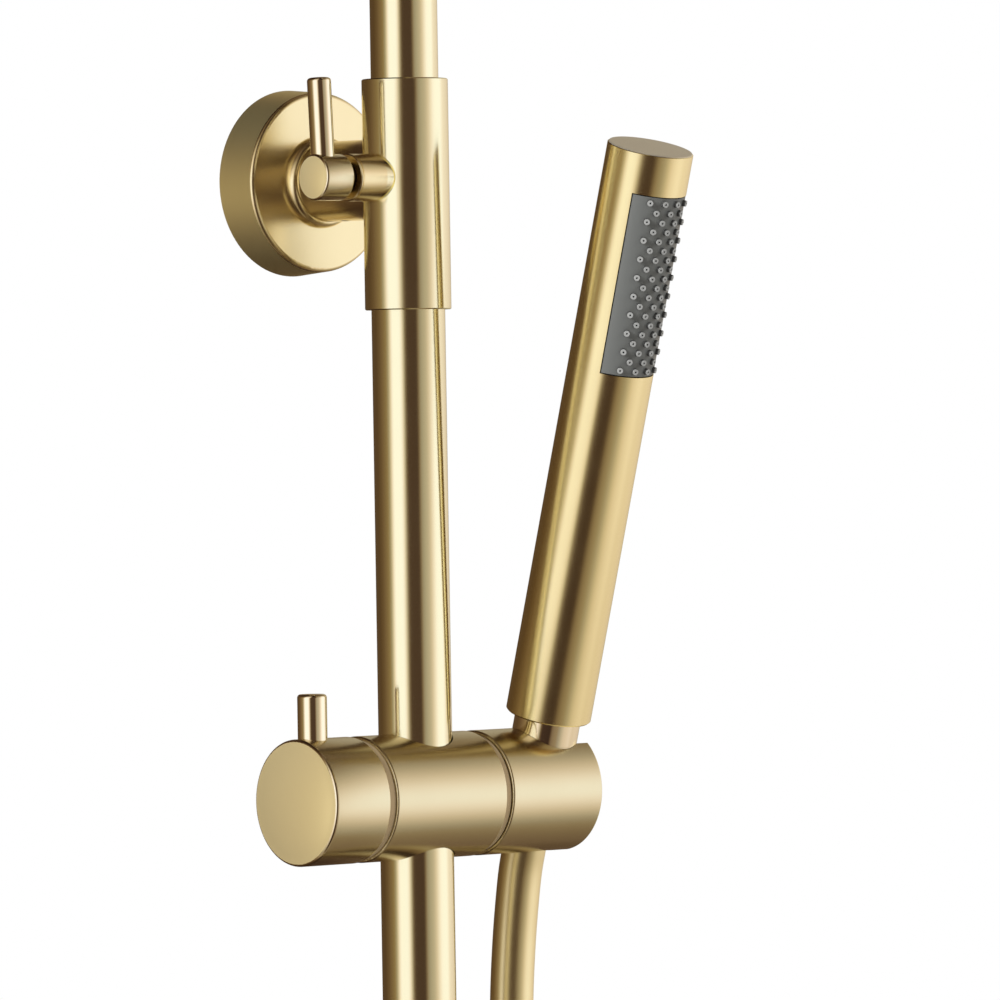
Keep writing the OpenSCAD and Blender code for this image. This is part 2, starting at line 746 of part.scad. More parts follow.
// One round shape at the centre and on every nozzle ring
module nozzle_spots(r) {
    circle(r);
    for (ring = [1 : head_rings])
        for (k = [0 : 6 * ring - 1])
            rotate(k * 60 / ring) translate([ring * ring_pitch, 0]) circle(r);
}

// Soft mat whose nozzles reach through the face plate
module head_nozzles() color(grey) at_head() union() {
    translate([0, 0, disc_low + plate_t]) linear_extrude(mat_t) difference() {
        circle(mat_r);
        nozzle_spots(drop_hole_r);
    }
    translate([0, 0, disc_low - drop_h]) linear_extrude(plate_t + drop_h) difference() {
        nozzle_spots(drop_r);
        nozzle_spots(drop_hole_r);
    }
}

module head_faceplate() color(gold) at_head()
    translate([0, 0, disc_low]) linear_extrude(plate_t - slip_gap) difference() {
        circle(mat_r);
        nozzle_spots(drop_r + slip_gap);
    }

// ---- Slider ----

// Split bush that runs on the rail inside the slider
module slider_bush() color(plastic) at_slider() difference() {
    tube(bush_out_r, bush_in_r, -bush_half, bush_half);
    translate([-bush_split / 2, 0, -bush_half - past])
        cube([bush_split, bush_out_r + past, 2 * (bush_half + past)]);
}

module slider_body() color(gold) at_slider() difference() {
    translate([-slider_left, 0, 0]) to_right()
        round_bar(slider_r, 0, slider_left + slider_right, knob_edge, knob_edge);
    bar(slider_bore_r, -slider_r - past, slider_r + past);
    bar(bush_pocket_r, -bush_half - turn_gap, bush_half + turn_gap);
    to_left() bar(slider_clamp_r + slip_gap, 0, slider_left + past);
    to_right() bar(bolt_r + run_gap, bolt_hole_in, slider_right + past);
}

// Pad that presses the bush against the rail
module slider_clamp_shoe() color(brass) at_slider() difference() {
    to_left() bar(slider_clamp_r, bush_in_r / 2, slider_shoe_out);
    bar(slider_shoe_in, -slider_clamp_r - past, slider_clamp_r + past);
}

module lock_washer() color(gold) at_slider() to_left()
    tube(washer_r, slider_clamp_r + face_gap, slider_left + slip_gap,
        slider_knob_in - face_gap);

module tilt_washer() color(gold) at_slider() to_right()
    tube(washer_r, pivot_r + turn_gap, slider_right + slip_gap, holder_in - face_gap);

// Shoulder bolt that the holder turns on
module tilt_bolt() color(brass) at_slider() to_right() difference() {
    union() {
        bar(bolt_r, bolt_in, slider_right);
        bar(pivot_r, slider_right, bolt_head_in);
        bar(bolt_head_r, bolt_head_in, bolt_head_out, 0, plate_edge);
    }
    translate([0, 0, bolt_head_out - socket_depth])
        cylinder(r = bolt_socket_r, h = socket_depth + past, $fn = 6);
}

module tilt_spring_washer() color(black) at_slider() to_right()
    tube(bolt_head_r + slip_gap, pivot_r + slip_gap, web_end + slip_gap,
        bolt_head_in - slip_gap);

module slider_clamp_screw() color(brass) at_slider() to_left()
    bar(slider_clamp_r, slider_screw_in, slider_screw_out, plate_edge, plate_edge);

module slider_lock_knob() color(gold) at_slider() difference() {
    to_left() difference() {
        round_bar(slider_r, slider_knob_in, slider_knob_out, knob_edge, knob_edge);
        bar(slider_clamp_r + slip_gap, slider_knob_in - past, slider_screw_out + slip_gap);
    }
    translate([-slider_pin_place, 0, 0])
        pin_socket(slider_pin_r, slider_r - 6.5, slider_tail_r, slider_r - 11.8);
}

module slider_lock_pin() color(gold) at_slider() translate([-slider_pin_place, 0, 0])
    lever_pin(slider_pin_r, slider_r - 6.5, slider_pin_reach, slider_tail_r,
        slider_r - 11.8);

// Radius of the cone nut at a height along the wand's axis
function nut_r(w) = nut_low_r + (w + nut_drop) * (nut_top_r - nut_low_r)
    / (nut_cone_end + nut_drop);

module wand_holder() color(gold) at_slider() difference() {
    to_right() difference() {
        round_bar(slider_r, holder_in, holder_out, knob_edge, knob_edge);
        bar(pivot_r + run_gap, holder_in - past, web_end + past);
        bar(bolt_head_r + 0.4, web_end, wand_place);
    }
    translate([wand_place, 0, 0]) rotate([wand_lean, 0, 0]) {
        reach = slider_r + past;
        translate([0, 0, -reach])
            cylinder(r1 = nut_r(-reach) + holder_clear, r2 = nut_r(reach) + holder_clear,
                h = 2 * reach);
        translate([0, -slot_half, -1.5 * reach]) cube([holder_w, 2 * slot_half, 3 * reach]);
    }
}

// ---- Wand ----

// Ferrule on the hose's upper end, which the cone nut turns on
module hose_swivel() color(brass) at_wand() difference() {
    union() {
        bar(hose_r, -nut_drop, flange_low);
        bar(nut_thread_r - turn_gap, flange_low, flange_high);
    }
    bar(hose_bore_r, -nut_drop - past, flange_high + past);
}

module wand_seal() color(black) at_wand()
    tube(nut_thread_r - face_gap, seal_bore_r, flange_high, seal_high);

module hose_cone_nut() color(gold) at_wand() rotate_extrude() difference() {
    polygon([[0, -nut_drop], [nut_low_r - 0.4, -nut_drop], [nut_low_r, 0.4 - nut_drop],
        [nut_top_r, nut_cone_end], [nut_top_r, nut_end], [0, nut_end]]);
    square_down(nut_bore_r, -nut_drop - past, nut_shelf + past);
    square_down(nut_thread_r, nut_shelf, nut_end + past);
}

// Threaded foot of the wand
module wand_connector() color(brass) at_wand() difference() {
    union() {
        bar(nut_thread_r - turn_gap, connector_low, connector_flange);
        bar(wand_in_r - slip_gap, connector_flange, core_start - slip_gap);
    }
    bar(water_r, connector_low - past, core_start + past);
}

module wand_body() color(gold) at_wand() difference() {
    bar(wand_r, wand_start, wand_end, plate_edge, plate_edge);
    bar(wand_in_r, wand_start - past, wand_end - wand_top);
    sector(wand_in_r - past, wand_r + past, window_half, window_low, window_top);
}

// Inner body that brings the water to the back of the spray pad
module wand_core() color(plastic) at_wand() difference() {
    bar(core_r, core_start, core_end, plate_edge, plate_edge);
    bar(water_r, core_start - past, window_top - 6);
    sector(pad_floor_r - slip_gap, core_r + past, window_half + 1, window_low - 0.4,
        window_top + 0.4);
    sector(water_r / 2, pad_floor_r, window_half - 17, window_low + 6, window_top - 6);
}

// Angles of the nozzles in one row: rows of four and rows of three take turns
function row_angles(row) = row % 2 == 0
    ? [-1.5 * nozzle_step, -0.5 * nozzle_step, 0.5 * nozzle_step, 1.5 * nozzle_step]
    : [-nozzle_step, 0, nozzle_step];

// Every nozzle's place on the pad, with local +Z straight out of the pad
module at_pad_nozzles()
    for (row = [0 : pad_rows - 1])
        for (angle = row_angles(row))
            translate([0, 0, pad_mid + (row - (pad_rows - 1) / 2) * row_pitch])
                rotate([0, 0, angle - 90]) to_right() children();

module spray_pad() color(grey) at_wand() difference() {
    union() {
        sector(pad_floor_r, pad_face_r, pad_half, window_low + pad_gap, window_top - pad_gap);
        at_pad_nozzles() translate([0, 0, pad_face_r - 0.3])
            cylinder(r1 = nozzle_r, r2 = nozzle_r - 0.2, h = nozzle_h + 0.3);
    }
    at_pad_nozzles() bar(nozzle_hole_r, pad_floor_r - past, pad_face_r + nozzle_h + past);
}

// ---- Mixer ----

module mixer_body() color(gold) at_mixer() difference() {
    union() {
        to_right() round_bar(mixer_r, -mixer_half, mixer_half, knob_edge, knob_edge);
        bar(rail_boss_r, 0, rail_boss_top);
        translate([-outlet_place, 0, -outlet_boss_low]) bar(12, 0, outlet_boss_low);
        for (side = [-1, 1])
            translate([side * inlet_place, 0, 0]) rotate([-90, 0, 0]) {
                bar(inlet_neck_r, 0, inlet_reach);
                bar(inlet_collar_r, inlet_reach - inlet_collar_w, inlet_reach);
            }
    }
    to_right() bar(passage_r, -mixer_half, mixer_half);
    for (side = [-1, 1])
        translate([side * chamber_floor, 0, 0]) rotate([0, 90 * side, 0])
            bar(chamber_r, 0, chamber_len + past);
    bar(rail_r + run_gap, rail_seat, rail_boss_top + past);
    bar(passage_r, 0, rail_seat + past);
    for (side = [-1, 1])
        translate([side * inlet_place, 0, 0]) rotate([-90, 0, 0])
            bar(inlet_bore_r, chamber_r - 3, inlet_reach + past);
    translate([-outlet_place, 0, -outlet_boss_low - past]) {
        bar(outlet_stub_r + run_gap, 0, outlet_boss_low - outlet_stub_top + past);
        bar(outlet_r, 0, outlet_boss_low + past);
    }
}

// Nut that presses the seal round the foot of the rail
module riser_union_nut() color(gold) at_mixer() difference() {
    bar(union_r, union_low, union_top, knob_edge, knob_edge);
    bar(rail_boss_r + slip_gap, union_low - past, union_lip);
    bar(rail_r + slip_gap, union_lip - past, union_top + past);
}

module rail_seal() color(black) at_mixer()
    tube(rail_boss_r, rail_r + run_gap, rail_boss_top + slip_gap, rail_seal_top);

// Cartridge with three lands and a waist between them where the water runs
module cartridge(side) at_mixer() rotate([0, 90 * side, 0]) difference() {
    union() {
        bar(cartridge_r, cartridge_in, cartridge_in + 8, plate_edge, plate_edge);
        bar(cartridge_r - 4.5, cartridge_in + 8, mixer_half - 8);
        bar(cartridge_r, mixer_half - 8, mixer_half - slip_gap, plate_edge, plate_edge);
        bar(cartridge_nose_r, mixer_half - slip_gap, nose_out, 0, plate_edge);
    }
    bar(spindle_r + run_gap, spindle_in - slip_gap, nose_out + past);
}

module spindle(side) at_mixer() rotate([0, 90 * side, 0])
    bar(spindle_r, spindle_in, spindle_out, plate_edge, plate_edge);

module mixer_knob(side) at_mixer() difference() {
    rotate([0, 90 * side, 0]) difference() {
        round_bar(mixer_r, mixer_knob_in, mixer_knob_out, knob_edge, knob_edge);
        bar(cartridge_nose_r + 2, mixer_knob_in - past, mixer_knob_in + knob_recess);
        bar(spindle_r + slip_gap, mixer_knob_in, spindle_out + slip_gap);
    }
    translate([side * mixer_pin_place, 0, 0])
        pin_socket(slider_pin_r, mixer_r - 6.5, slider_tail_r, mixer_r - 11.8);
}

module mixer_pin(side) at_mixer() translate([side * mixer_pin_place, 0, 0])
    lever_pin(slider_pin_r, mixer_r - 6.5, mixer_pin_reach, slider_tail_r, mixer_r - 11.8);

module flow_cartridge() color(plastic) cartridge(-1);
module flow_spindle() color(brass) spindle(-1);
module flow_knob() color(gold) mixer_knob(-1);
module flow_pin() color(gold) mixer_pin(-1);
module temperature_cartridge() color(plastic) cartridge(1);
module temperature_spindle() color(brass) spindle(1);
module temperature_knob() color(gold) mixer_knob(1);
module temperature_pin() color(gold) mixer_pin(1);

// Local -Z runs down from the mixer's outlet
module at_outlet() at_mixer() translate([-outlet_place, 0, 0]) children();

module hose_outlet() color(gold) at_outlet() difference() {
    union() {
        bar(outlet_stub_r, -outlet_boss_low - slip_gap, -outlet_stub_top - slip_gap);
        hex_bar(22, -outlet_flange_low, -outlet_boss_low - slip_gap);
        bar(outlet_thread_r, -outlet_low, -outlet_flange_low, plate_edge, 0);
    }
    bar(outlet_r, -outlet_low - past, 0);
}

// Nut and ferrule on the hose's lower end
module hose_end_nut() color(gold) at_outlet() difference() {
    rotate_extrude() polygon([[0, -end_nut_low], [hose_r + 2.6, -end_nut_low],
        [end_nut_r, -end_nut_low + 4], [end_nut_r, -end_nut_top], [0, -end_nut_top]]);
    bar(outlet_thread_r + slip_gap, -outlet_low - slip_gap, -end_nut_top + past);
    bar(hose_bore_r, -end_nut_low - past, -outlet_low);
}

module inlet_nuts() color(gold) at_inlets() difference() {
    hex_bar(inlet_nut_af, nut_back, nut_front);
    bar(inlet_collar_r + slip_gap, nut_back - past, nut_lip);
    bar(inlet_neck_r + turn_gap, nut_lip - past, nut_front + past);
}

module inlet_washers() color(black) at_inlets()
    tube(inlet_neck_r, inlet_bore_r, union_front, wall_gap - inlet_reach);

// Offset unions between the pipes in the wall and the mixer's nuts
module inlet_unions() color(brass) {
    difference() {
        union() {
            at_inlets() bar(inlet_collar_r, union_back, union_front);
            at_inlets(union_offset) bar(wall_thread_r, -wall_thread_len, union_back);
        }
        at_inlets() bar(inlet_bore_r, union_back - 3, union_front + past);
        at_inlets(union_offset) bar(inlet_bore_r, -wall_thread_len - past, union_back);
    }
}

module inlet_rosettes() color(gold) at_inlets()
    rosette_cup(inlet_rosette_r, inlet_rosette_r - 1, inlet_rosette_h,
        inlet_collar_r + slip_gap);

// ---- Hose ----

// Point between p1 and p2 on a smooth curve that runs through all four points
function curve_point(p0, p1, p2, p3, t) = 0.5 * (2 * p1 + (p2 - p0) * t
    + (2 * p0 - 5 * p1 + 4 * p2 - p3) * t * t + (3 * p1 - p0 - 3 * p2 + p3) * t * t * t);

// The same curve through every point of a route, with the given steps a span
function smooth_route(route, steps) = let (
        last = len(route) - 1,
        full = concat([2 * route[0] - route[1]], route, [2 * route[last] - route[last - 1]]))
    concat([for (i = [0 : last - 1]) for (k = [0 : steps - 1])
        curve_point(full[i], full[i + 1], full[i + 2], full[i + 3], k / steps)],
        [route[last]]);

// Ring of points round the curve at point i
function route_ring(curve, i, r, sides) = let (
        last = len(curve) - 1,
        ahead = curve[min(i + 1, last)] - curve[max(i - 1, 0)],
        along = ahead / norm(ahead),
        across = cross(along, [0, 1, 0]),
        side = across / norm(across),
        up = cross(side, along))
    [for (k = [0 : sides - 1]) curve[i]
        + r * (cos(360 * k / sides) * side + sin(360 * k / sides) * up)];

module route_tube(route, r, sides, steps) {
    curve = smooth_route(route, steps);
    rings = len(curve);
    polyhedron(
        points = [for (i = [0 : rings - 1]) each route_ring(curve, i, r, sides)],
        faces = concat(
            [[for (k = [0 : sides - 1]) k]],
            [for (i = [0 : rings - 2]) for (k = [0 : sides - 1])
                [i * sides + k, (i + 1) * sides + k,
                    (i + 1) * sides + (k + 1) % sides, i * sides + (k + 1) % sides]],
            [[for (k = [sides - 1 : -1 : 0]) (rings - 1) * sides + k]]));
}

module hose() color(gold) route_tube(hose_points, hose_r, hose_sides, hose_steps);

wall_base_plate();
wall_rosette();
wall_arm();
arm_grub_screw();
riser_sleeve();
riser_seals();
riser_clamp_shoe();
riser_clamp_screw();
riser_lock_knob();
riser_lock_pin();
lower_rail();
riser_guide_ring();
upper_riser();
riser_end_plug();
head_connector();
head_ball();
ball_seat_ring();
head_collar();
ball_seal();
head_shell();
head_nozzles();
head_faceplate();
slider_bush();
slider_body();
slider_clamp_shoe();
lock_washer();
tilt_washer();
tilt_bolt();
tilt_spring_washer();
slider_clamp_screw();
slider_lock_knob();
slider_lock_pin();
wand_holder();
hose_swivel();
wand_seal();
hose_cone_nut();
wand_connector();
wand_body();
wand_core();
spray_pad();
mixer_body();
riser_union_nut();
rail_seal();
flow_cartridge();
flow_spindle();
flow_knob();
flow_pin();
temperature_cartridge();
temperature_spindle();
temperature_knob();
temperature_pin();
hose_outlet();
hose_end_nut();
inlet_nuts();
inlet_washers();
inlet_unions();
inlet_rosettes();
hose();
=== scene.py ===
import json
import math

import bpy
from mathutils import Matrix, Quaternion, Vector

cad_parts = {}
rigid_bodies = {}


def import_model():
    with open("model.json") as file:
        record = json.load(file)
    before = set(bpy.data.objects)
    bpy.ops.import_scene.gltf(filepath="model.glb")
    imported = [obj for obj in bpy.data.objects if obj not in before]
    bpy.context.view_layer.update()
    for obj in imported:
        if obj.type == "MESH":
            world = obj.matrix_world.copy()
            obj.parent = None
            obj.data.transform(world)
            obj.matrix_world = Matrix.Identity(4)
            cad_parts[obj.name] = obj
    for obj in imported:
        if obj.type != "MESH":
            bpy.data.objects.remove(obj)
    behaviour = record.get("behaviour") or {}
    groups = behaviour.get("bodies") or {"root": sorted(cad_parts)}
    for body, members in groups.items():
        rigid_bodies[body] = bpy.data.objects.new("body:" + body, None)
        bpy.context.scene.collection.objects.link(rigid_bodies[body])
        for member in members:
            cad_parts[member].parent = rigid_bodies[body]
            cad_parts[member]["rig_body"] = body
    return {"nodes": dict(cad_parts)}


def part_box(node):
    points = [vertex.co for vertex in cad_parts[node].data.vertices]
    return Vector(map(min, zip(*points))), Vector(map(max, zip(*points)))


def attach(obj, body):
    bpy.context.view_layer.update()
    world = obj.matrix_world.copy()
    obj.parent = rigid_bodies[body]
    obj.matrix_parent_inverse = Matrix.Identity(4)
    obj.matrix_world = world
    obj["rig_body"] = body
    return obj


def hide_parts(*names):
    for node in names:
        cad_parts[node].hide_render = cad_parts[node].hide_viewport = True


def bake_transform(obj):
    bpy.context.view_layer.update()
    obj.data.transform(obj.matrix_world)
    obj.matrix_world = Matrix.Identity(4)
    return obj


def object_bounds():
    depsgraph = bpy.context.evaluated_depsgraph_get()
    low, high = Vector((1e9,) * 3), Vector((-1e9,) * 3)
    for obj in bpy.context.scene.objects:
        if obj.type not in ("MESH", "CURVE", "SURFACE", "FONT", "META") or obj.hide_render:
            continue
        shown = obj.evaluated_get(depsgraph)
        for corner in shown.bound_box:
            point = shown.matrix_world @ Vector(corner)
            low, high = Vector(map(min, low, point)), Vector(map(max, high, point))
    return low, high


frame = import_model()
cadLow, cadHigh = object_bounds()
cadNodes = frame["nodes"]
print("frame loaded:", len(cadNodes), "nodes")


def middle(nodeName):
    low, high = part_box(nodeName)
    return (low + high) / 2


def deselectAll():
    bpy.ops.object.select_all(action="DESELECT")


def selectOnly(piece):
    deselectAll()
    piece.select_set(True)
    bpy.context.view_layer.objects.active = piece


# The camera looks at the rail between the wall bracket and the slider
cameraSetup = {
    "azimuth": -41.6,       # degrees round the rail
    "elevation": 0.7,       # degrees above the horizon
    "distance": 2.601,      # metres from the aim point
    "lens": 288.0,          # millimetres
    "roll": -0.93,          # degrees
    "aimRight": 0.0288,     # aim point, metres to the right of the rail
    "aimHeight": -0.1051,   # and up from the middle of the bracket
    "clip": (0.1, 50),      # metres, the nearest and furthest that it sees
}


def makeCamera(setup):
    turn, lift = math.radians(setup["azimuth"]), math.radians(setup["elevation"])
    back = Vector((math.sin(turn) * math.cos(lift), -math.cos(turn) * math.cos(lift),
                   math.sin(lift)))
    right = Vector((math.cos(turn), math.sin(turn), 0))
    rail = middle("lower_rail")
    aim = Vector((rail.x, rail.y, setup["aimHeight"])) + right * setup["aimRight"]
    camera = bpy.data.objects.new("camera", bpy.data.cameras.new("camera"))
    bpy.context.scene.collection.objects.link(camera)
    camera.data.lens = setup["lens"]
    camera.data.clip_start, camera.data.clip_end = setup["clip"]
    camera.location = aim + back * setup["distance"]
    camera.rotation_mode = "QUATERNION"
    roll = Quaternion((0, 0, 1), math.radians(setup["roll"]))
    camera.rotation_quaternion = (-back).to_track_quat("-Z", "Y") @ roll
    bpy.context.scene.camera = camera


makeCamera(cameraSetup)
print("camera placed")


def linearRgb(hexColour):
    channels = [int(hexColour[i:i + 2], 16) / 255 for i in (1, 3, 5)]
    return [c / 12.92 if c <= 0.04045 else ((c + 0.055) / 1.055) ** 2.4
            for c in channels] + [1.0]


def addNode(tree, kind, settings=None, inputs=None):
    node = tree.nodes.new(kind)
    for name, value in (settings or {}).items():
        setattr(node, name, value)
    for socket, value in (inputs or {}).items():
        if isinstance(value, bpy.types.NodeSocket):
            tree.links.new(value, node.inputs[socket])
        else:
            node.inputs[socket].default_value = value
    return node


# A stop's value is a colour, or a grey as a share of white
def fillRamp(node, stops):
    ramp = node.color_ramp
    while len(ramp.elements) > 1:
        ramp.elements.remove(ramp.elements[-1])
    for i, (place, colour) in enumerate(stops):
        stop = ramp.elements[0] if i == 0 else ramp.elements.new(place)
        stop.position = place
        stop.color = linearRgb(colour) if isinstance(colour, str) else [colour] * 3 + [1]


def newMaterial(name):
    material = bpy.data.materials.new(name)
    material.use_nodes = True
    material.node_tree.nodes.clear()
    return material


def finishMaterial(material, shader):
    tree = material.node_tree
    addNode(tree, "ShaderNodeOutputMaterial", inputs={"Surface": shader})
    return material


# Physical vapour deposited gold tone on brass: a pale colour that shows what stands round
# it. It is all metal unless its share is given, and bump is the brush marks' depth in metres
goldCoat = {
    # Drawn and polished tube: mirror-like, with clear streaks along it
    "tube": {"colour": "#fbf5d3", "roughness": 0.14, "bump": 0.000002},
    # Brushed: the same streaks, broad and soft, and each part a shade of its own
    "satin": {"colour": "#fff2c8", "roughness": 0.23, "bump": 0.000004},
    "slider": {"colour": "#eee5c4", "roughness": 0.23, "bump": 0.000004},
    "wand": {"colour": "#fff3c1", "roughness": 0.23, "bump": 0.000004},
    # Smooth sheath, tinted to match: a duller gleam than the metal's
    "hose": {"colour": "#fff4c6", "roughness": 0.33, "bump": 0.000004},
    # Polished: small hard glints
    "pin": {"colour": "#fff6dc", "roughness": 0.07, "bump": 0.000001},
    # Left by a lathe tool or fine blasting: nearly matt, and pale from every side
    "face": {"colour": "#fceab2", "roughness": 0.31, "metallic": 0.7, "bump": 0.000006},
    "rim": {"colour": "#fff2b4", "roughness": 0.36, "metallic": 0.935},
    "cap": {"colour": "#efe9d8", "roughness": 0.38, "metallic": 0.8},
    "brushPitch": 0.0005,   # metres; real marks are finer, too fine to show
    "cloudSize": 0.022,     # metres, uneven sheen from handling
    "cloudRange": (0.3, 0.7),   # nearly all of the noise lies between these
    "spread": 0.02,         # roughness that the sheen adds or takes away
}


# The patch is another finish past a plane: its direction, and how far along that it starts
def coatedBrass(name, kind, patchKind=None, direction=(0, 0, 1), start=0.0):
    coat = goldCoat[kind]
    material = newMaterial(name)
    tree = material.node_tree
    place = addNode(tree, "ShaderNodeTexCoord").outputs["Object"]
    cloud = addNode(tree, "ShaderNodeTexNoise", inputs={
        "Vector": place, "Scale": 1 / goldCoat["cloudSize"], "Detail": 3.0,
        "Roughness": 0.6})
    cloudLow, cloudHigh = goldCoat["cloudRange"]
    rough = addNode(tree, "ShaderNodeMapRange", inputs={
        "Value": cloud.outputs["Fac"], "From Min": cloudLow, "From Max": cloudHigh,
        "To Min": coat["roughness"] - goldCoat["spread"],
        "To Max": coat["roughness"] + goldCoat["spread"]}).outputs["Result"]
    brush = addNode(tree, "ShaderNodeTexNoise", inputs={
        "Vector": place, "Scale": 1 / goldCoat["brushPitch"], "Detail": 2.0,
        "Roughness": 0.5})
    bump = addNode(tree, "ShaderNodeBump", inputs={
        "Strength": 1.0, "Distance": coat["bump"], "Height": brush.outputs["Fac"]})
    colour, metallic = linearRgb(coat["colour"]), coat.get("metallic", 1.0)
    if patchKind:
        patch = goldCoat[patchKind]
        along = addNode(tree, "ShaderNodeVectorMath", {"operation": "DOT_PRODUCT"},
                        {0: place, 1: direction})
        inside = addNode(tree, "ShaderNodeMath", {"operation": "GREATER_THAN"},
                         {0: along.outputs["Value"], 1: start}).outputs["Value"]
        rough = addNode(tree, "ShaderNodeMath", {"operation": "MULTIPLY_ADD"}, {
            0: inside, 1: patch["roughness"] - coat["roughness"],
            2: rough}).outputs["Value"]
        colour = addNode(tree, "ShaderNodeMix", {"data_type": "RGBA"}, {
            "Factor": inside, 6: colour, 7: linearRgb(patch["colour"])}).outputs[2]
        metallic = addNode(tree, "ShaderNodeMapRange", inputs={
            "Value": inside, "To Min": metallic,
            "To Max": patch.get("metallic", 1.0)}).outputs["Result"]
    shader = addNode(tree, "ShaderNodeBsdfPrincipled", inputs={
        "Base Color": colour, "Metallic": metallic, "Roughness": rough,
        "Normal": bump.outputs["Normal"]})
    return finishMaterial(material, shader.outputs["BSDF"])


plainGrain = {"size": 0.002, "depth": 0.00002}     # metres, unevenness of a bare surface


def plainFinish(name, colour, roughness, metallic=0.0):
    material = newMaterial(name)
    tree = material.node_tree
    place = addNode(tree, "ShaderNodeTexCoord").outputs["Object"]
    cloud = addNode(tree, "ShaderNodeTexNoise", inputs={
        "Vector": place, "Scale": 1 / plainGrain["size"], "Detail": 3.0,
        "Roughness": 0.55})
    bump = addNode(tree, "ShaderNodeBump", inputs={
        "Strength": 1.0, "Distance": plainGrain["depth"],
        "Height": cloud.outputs["Fac"]})
    shader = addNode(tree, "ShaderNodeBsdfPrincipled", inputs={
        "Base Color": linearRgb(colour), "Metallic": metallic,
        "Roughness": roughness, "Normal": bump.outputs["Normal"]})
    return finishMaterial(material, shader.outputs["BSDF"])


tubeGold = coatedBrass("gold_coated_brass_tube", "tube")
satinGold = coatedBrass("gold_coated_brass_satin", "satin")
sliderGold = coatedBrass("gold_coated_brass_slider", "slider")
hoseGold = coatedBrass("gold_tinted_hose", "hose")
pinGold = coatedBrass("gold_coated_brass_polished", "pin")
faceGold = coatedBrass("gold_coated_brass_turned_face", "face")
# Bare brass off the lathe is warm and half shiny, a clamp screw's thread is painted dark
# brown as the shade in the gap round it, and bead blasting leaves a washer pale and evenly
# matt
turnedBrass = plainFinish("turned_brass", "#c9a766", 0.3, 1.0)
shadedThreadBrass = plainFinish("brass_thread_painted_shade", "#54401f", 0.5, 1.0)
blastedBrass = plainFinish("bead_blasted_brass_washer", "#c8b088", 0.5, 0.3)
# Blackened steel is near black with a low gloss
blackSteel = plainFinish("blackened_steel", "#2b2b2b", 0.4, 1.0)
# Moulded acetal is milky and waxy, nitrile rubber sooty, and silicone a dull grey
acetal = plainFinish("acetal", "#dcdad2", 0.45)
sealRubber = plainFinish("nitrile_rubber", "#161616", 0.6)
silicone = plainFinish("silicone_rubber", "#626261", 0.5)
slotFinish = {"gold_metal": satinGold, "raw_brass": turnedBrass, "black_steel": blackSteel,
              "white_plastic": acetal, "black_rubber": sealRubber,
              "grey_rubber": silicone}
print("materials ready")


# The hose hangs from the wand in one loop and comes up to the mixer
hoseSetup = {
    "diameter": 0.0144,
    "steps": 12,            # of the route, from each point to the next
    "roundness": 10,        # the higher, the more sides
    "sharpAngle": 40,       # degrees, so that only the rims of its ends stay sharp
    "points": [
        (0.0518, -0.053, -0.218), (0.0518, -0.0503, -0.2275), (0.0518, -0.0483, -0.2385),
        (0.0519, -0.0463, -0.2525), (0.052, -0.0447, -0.2695), (0.0523, -0.0436, -0.2915),
        (0.053, -0.0432, -0.3195), (0.054, -0.044, -0.355), (0.055, -0.047, -0.401),
        (0.057, -0.052, -0.456), (0.06, -0.06, -0.52), (0.064, -0.069, -0.59),
        (0.068, -0.078, -0.665), (0.073, -0.086, -0.74), (0.078, -0.092, -0.815),
        (0.083, -0.096, -0.89), (0.087, -0.098, -0.965), (0.09, -0.098, -1.04),
        (0.092, -0.097, -1.105), (0.093, -0.095, -1.162), (0.091, -0.092, -1.212),
        (0.081, -0.089, -1.254), (0.054, -0.085, -1.284), (0.016, -0.081, -1.295),
        (-0.022, -0.077, -1.284), (-0.049, -0.073, -1.254), (-0.059, -0.07, -1.212),
        (-0.061, -0.067, -1.165), (-0.059, -0.063, -1.114), (-0.053, -0.06, -1.06),
        (-0.0475, -0.0585, -1.012), (-0.045, -0.058, -0.984), (-0.045, -0.058, -0.9644)],
    # Lengths of hose cut off as pieces of their own, from the wand down
    "stretches": [
        ("hose_at_wand", 0.09, "holder", "hose_top"),
        ("hose_at_holder", 0.09, "slider", "holder"),
        ("hose_at_slider", 0.16, "slider_carriage", "slider")],
    "arc": (19, 27),        # points at the two ends of the loop's lowest arc
    "arcShare": 0.45,       # share of the slider's travel that the arc follows
    "arcBlend": 1000,       # metres, so long a blend that the arc moves as one
}


# A smooth line through the points, straight on at both ends
def smoothRoute(points, steps):
    route = [Vector(p) for p in points]
    route = [2 * route[0] - route[1]] + route + [2 * route[-1] - route[-2]]
    line = []
    for a, b, c, d in zip(route, route[1:], route[2:], route[3:]):
        for k in range(steps):
            t = k / steps
            line.append(0.5 * (2 * b + (c - a) * t + (2 * a - 5 * b + 4 * c - d) * t * t
                               + (3 * b - a - 3 * c + d) * t ** 3))
    return line + [route[-2]]


def routeLength(line):
    return sum((b - a).length for a, b in zip(line, line[1:]))


# Cuts a route in two, that length from its start
def splitRoute(line, length):
    run = 0
    for i, (a, b) in enumerate(zip(line, line[1:])):
        step = (b - a).length
        if run + step >= length:
            cut = a.lerp(b, (length - run) / step)
            return line[:i + 1] + [cut], [cut] + line[i + 1:]
        run += step
    raise ValueError("the hose is shorter than the stretch that is cut from it")


